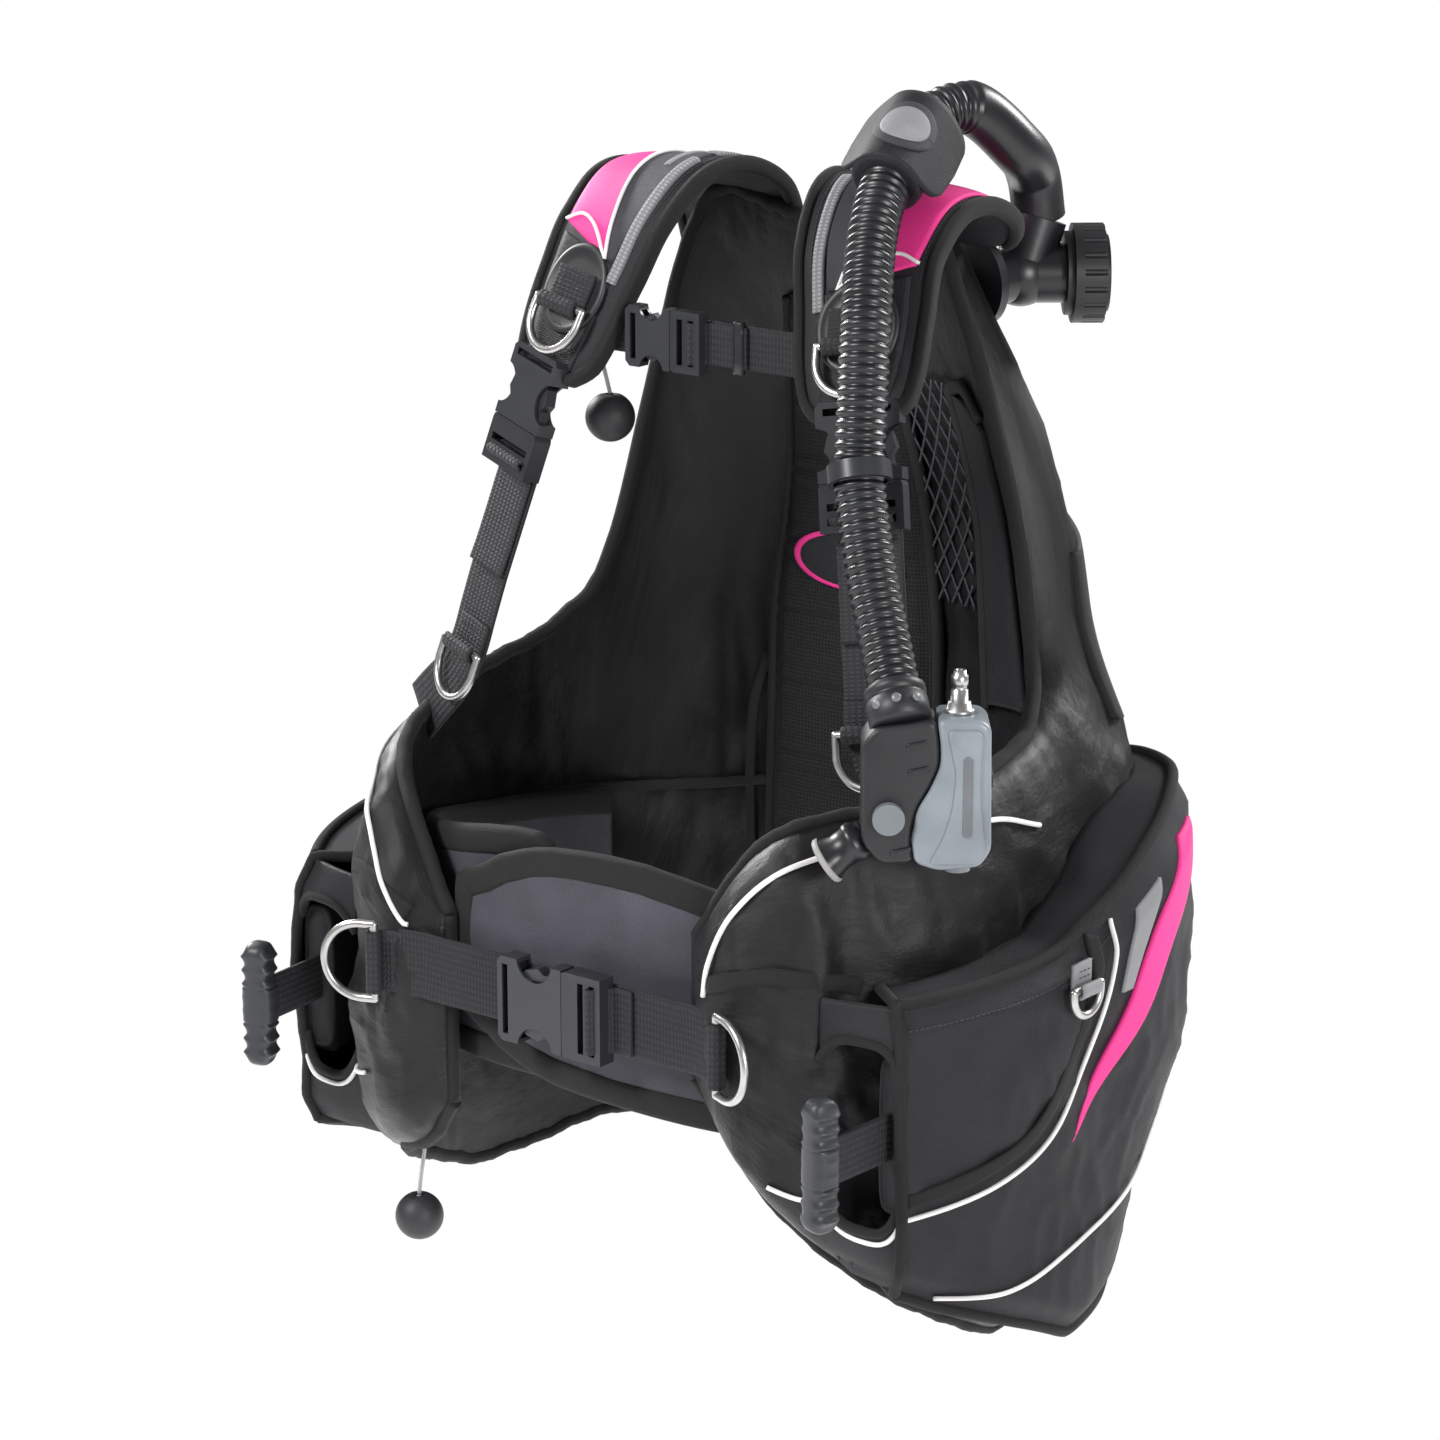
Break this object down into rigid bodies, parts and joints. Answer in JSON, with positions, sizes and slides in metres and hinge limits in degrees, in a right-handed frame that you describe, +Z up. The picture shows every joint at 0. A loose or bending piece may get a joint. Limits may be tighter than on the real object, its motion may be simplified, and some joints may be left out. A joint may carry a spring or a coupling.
{
  "type": "buoyancy compensator vest",
  "caption": "Jacket-style buoyancy vest: wraparound air cell, padded shoulder straps, cummerbund and belt, weight pockets, corrugated hose with power inflator, dump valves and tank band.",
  "frame": {"origin": "on the axis of the wearer's torso, level with the lowest hem, where the wearer's waist and hips fill the vest", "axes": "+Z up along the wearer's spine, +X to the wearer's left, -Y to the front"},
  "size_m": [0.535, 0.4484, 0.69],
  "materials": {
    "cell_fabric": "coated black nylon, slightly glossy",
    "panel_fabric": "charcoal ballistic weave",
    "cummerbund_fabric": "grey-violet nylon with black binding",
    "pad_mesh": "ribbed black air mesh",
    "webbing": "ribbed black polyester webbing",
    "moulded_black": "fine-textured black nylon",
    "buckle_plastic": "satin acetal",
    "grip_rubber": "moulded rubber",
    "hose_rubber": "corrugated black rubber, waxy sheen",
    "inflator_grey": "silver-grey moulded plastic",
    "button_grey": "grey moulded plastic",
    "steel": "bead-blasted stainless steel",
    "cord": "braided light grey cord",
    "ball_rubber": "matt black moulded ball"
  },
  "bodies": {
    "vest": {"air_cell": "cell_fabric", "back_pad": "pad_mesh", "backplate": "moulded_black", "tank_band": "webbing", "cam_buckle_frame": "moulded_black", "carry_handle": "webbing", "right_shoulder_pad": "panel_fabric", "left_shoulder_pad": "panel_fabric", "right_shoulder_strap": "webbing", "left_shoulder_strap": "webbing", "right_shoulder_buckle": "buckle_plastic", "left_shoulder_buckle": "buckle_plastic", "chest_strap_right": "webbing", "chest_strap_left": "webbing", "chest_buckle": "buckle_plastic", "right_cummerbund": "cummerbund_fabric", "left_cummerbund": "cummerbund_fabric", "right_belt": "webbing", "left_belt": "webbing", "belt_buckle": "buckle_plastic", "right_pocket": "panel_fabric", "left_pocket": "panel_fabric", "ring_tabs": "webbing", "exhaust_elbow": "moulded_black", "exhaust_cap": "moulded_black", "hose_upper": "hose_rubber", "hose_wrap": "cell_fabric", "hose_clip": "buckle_plastic", "shoulder_cord_guide": "moulded_black", "hem_dump_valve": "moulded_black"},
    "right_shoulder_ring": {"right_shoulder_ring": "steel"},
    "right_strap_ring": {"right_strap_ring": "steel"},
    "right_belt_ring": {"right_belt_ring": "steel"},
    "right_pocket_ring": {"right_pocket_ring": "steel"},
    "left_shoulder_ring": {"left_shoulder_ring": "steel"},
    "left_strap_ring": {"left_strap_ring": "steel"},
    "left_belt_ring": {"left_belt_ring": "steel"},
    "left_pocket_ring": {"left_pocket_ring": "steel"},
    "right_shoulder_clip": {"right_shoulder_clip": "buckle_plastic"},
    "left_shoulder_clip": {"left_shoulder_clip": "buckle_plastic"},
    "chest_clip": {"chest_clip": "buckle_plastic"},
    "belt_clip": {"belt_clip": "buckle_plastic"},
    "right_weights": {"right_weight_pouch": "cell_fabric", "right_weight_handle": "grip_rubber"},
    "left_weights": {"left_weight_pouch": "cell_fabric", "left_weight_handle": "grip_rubber"},
    "cam_lever": {"cam_buckle_lever": "buckle_plastic"},
    "inflator": {"hose_lower": "hose_rubber", "inflator_body": "moulded_black", "inflator_plate": "inflator_grey", "mouthpiece": "grip_rubber", "hose_nipple": "steel"},
    "inflate_button": {"inflate_button": "steel"},
    "deflate_button": {"deflate_button": "button_grey"},
    "shoulder_pull": {"shoulder_pull_cord": "cord", "shoulder_pull_ball": "ball_rubber"},
    "hem_pull": {"hem_pull_cord": "cord", "hem_pull_ball": "ball_rubber"}
  },
  "joints": [
    {"name": "right_shoulder_ring_swing", "type": "hinge", "parent": "vest", "child": "right_shoulder_ring", "pos_m": [-0.102, -0.0175, 0.563], "axis": [-0.9752, 0.172, 0.1392], "range_deg": [0, 100]},
    {"name": "right_strap_ring_swing", "type": "hinge", "parent": "vest", "child": "right_strap_ring", "pos_m": [-0.147, -0.0565, 0.361], "axis": [-0.9305, 0.3387, 0.1392], "range_deg": [0, 100]},
    {"name": "right_belt_ring_swing", "type": "hinge", "parent": "vest", "child": "right_belt_ring", "pos_m": [-0.124, -0.162, 0.201], "axis": [0, 0, 1], "range_deg": [0, 90]},
    {"name": "right_pocket_ring_swing", "type": "hinge", "parent": "vest", "child": "right_pocket_ring", "pos_m": [-0.262, -0.012, 0.228], "axis": [-0.0349, 0.9994, 0], "range_deg": [0, 95]},
    {"name": "left_shoulder_ring_swing", "type": "hinge", "parent": "vest", "child": "left_shoulder_ring", "pos_m": [0.102, -0.0175, 0.563], "axis": [-0.9752, -0.172, -0.1392], "range_deg": [0, 40]},
    {"name": "left_strap_ring_swing", "type": "hinge", "parent": "vest", "child": "left_strap_ring", "pos_m": [0.147, -0.0565, 0.361], "axis": [-0.9305, -0.3387, -0.1392], "range_deg": [0, 100]},
    {"name": "left_belt_ring_swing", "type": "hinge", "parent": "vest", "child": "left_belt_ring", "pos_m": [0.124, -0.162, 0.201], "axis": [0, 0, -1], "range_deg": [0, 90]},
    {"name": "left_pocket_ring_swing", "type": "hinge", "parent": "vest", "child": "left_pocket_ring", "pos_m": [0.262, -0.012, 0.228], "axis": [-0.0349, -0.9994, 0], "range_deg": [0, 95]},
    {"name": "right_shoulder_release", "type": "slide", "parent": "vest", "child": "right_shoulder_clip", "axis": [-0.22, -0.2079, -0.9531], "range_m": [0, 0.03]},
    {"name": "left_shoulder_release", "type": "slide", "parent": "vest", "child": "left_shoulder_clip", "axis": [0.22, -0.2079, -0.9531], "range_m": [0, 0.03]},
    {"name": "chest_release", "type": "slide", "parent": "vest", "child": "chest_clip", "axis": [1, 0, 0], "range_m": [0, 0.03]},
    {"name": "belt_release", "type": "slide", "parent": "vest", "child": "belt_clip", "axis": [1, 0, 0], "range_m": [0, 0.03]},
    {"name": "right_weight_release", "type": "slide", "parent": "vest", "child": "right_weights", "axis": [0.2689, -0.9632, 0], "range_m": [0, 0.15]},
    {"name": "left_weight_release", "type": "slide", "parent": "vest", "child": "left_weights", "axis": [-0.2689, -0.9632, 0], "range_m": [0, 0.15]},
    {"name": "cam_lever_swing", "type": "hinge", "parent": "vest", "child": "cam_lever", "pos_m": [-0.027, 0.2553, 0.33], "axis": [0, 0, 1], "range_deg": [0, 130]},
    {"name": "hose_swing", "type": "hinge", "parent": "vest", "child": "inflator", "pos_m": [0.151, -0.069, 0.482], "axis": [-1, 0, 0], "range_deg": [0, 70]},
    {"name": "inflate_press", "type": "slide", "parent": "inflator", "child": "inflate_button", "axis": [0, 0, 1], "range_m": [0, 0.003], "stiffness_N_per_m": 400, "springref_m": -0.002},
    {"name": "deflate_press", "type": "slide", "parent": "inflator", "child": "deflate_button", "axis": [-0.6157, 0.788, 0], "range_m": [0, 0.003], "stiffness_N_per_m": 400, "springref_m": -0.002},
    {"name": "shoulder_dump_pull", "type": "slide", "parent": "vest", "child": "shoulder_pull", "axis": [0, 0, -1], "range_m": [0, 0.01], "stiffness_N_per_m": 300, "springref_m": -0.003},
    {"name": "hem_dump_pull", "type": "slide", "parent": "vest", "child": "hem_pull", "axis": [0, 0, -1], "range_m": [0, 0.01], "stiffness_N_per_m": 300, "springref_m": -0.003}
  ]
}
